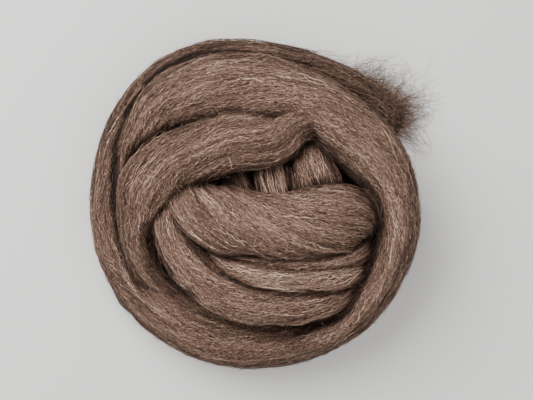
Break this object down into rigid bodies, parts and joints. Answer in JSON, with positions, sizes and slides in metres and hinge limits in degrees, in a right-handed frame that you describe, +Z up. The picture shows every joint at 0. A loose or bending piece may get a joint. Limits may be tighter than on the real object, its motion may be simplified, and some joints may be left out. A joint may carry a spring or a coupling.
{
  "type": "wool roving ball",
  "caption": "Nest-like ball of grey-brown combed wool roving, wound in broad turns, with a frayed loose end on the floor.",
  "frame": {"origin": "middle of the flat underside, under the centre of the bounding box", "axes": "+Z up from the surface it rests on, +X towards the side where the loose end lies, +Y towards the side where the outer turn starts"},
  "size_m": [0.1628, 0.15, 0.0689],
  "materials": {
    "wool": "matt, fibrous"
  },
  "bodies": {
    "root": {"roving_ball": "wool", "loose_end": "wool"}
  },
  "joints": []
}
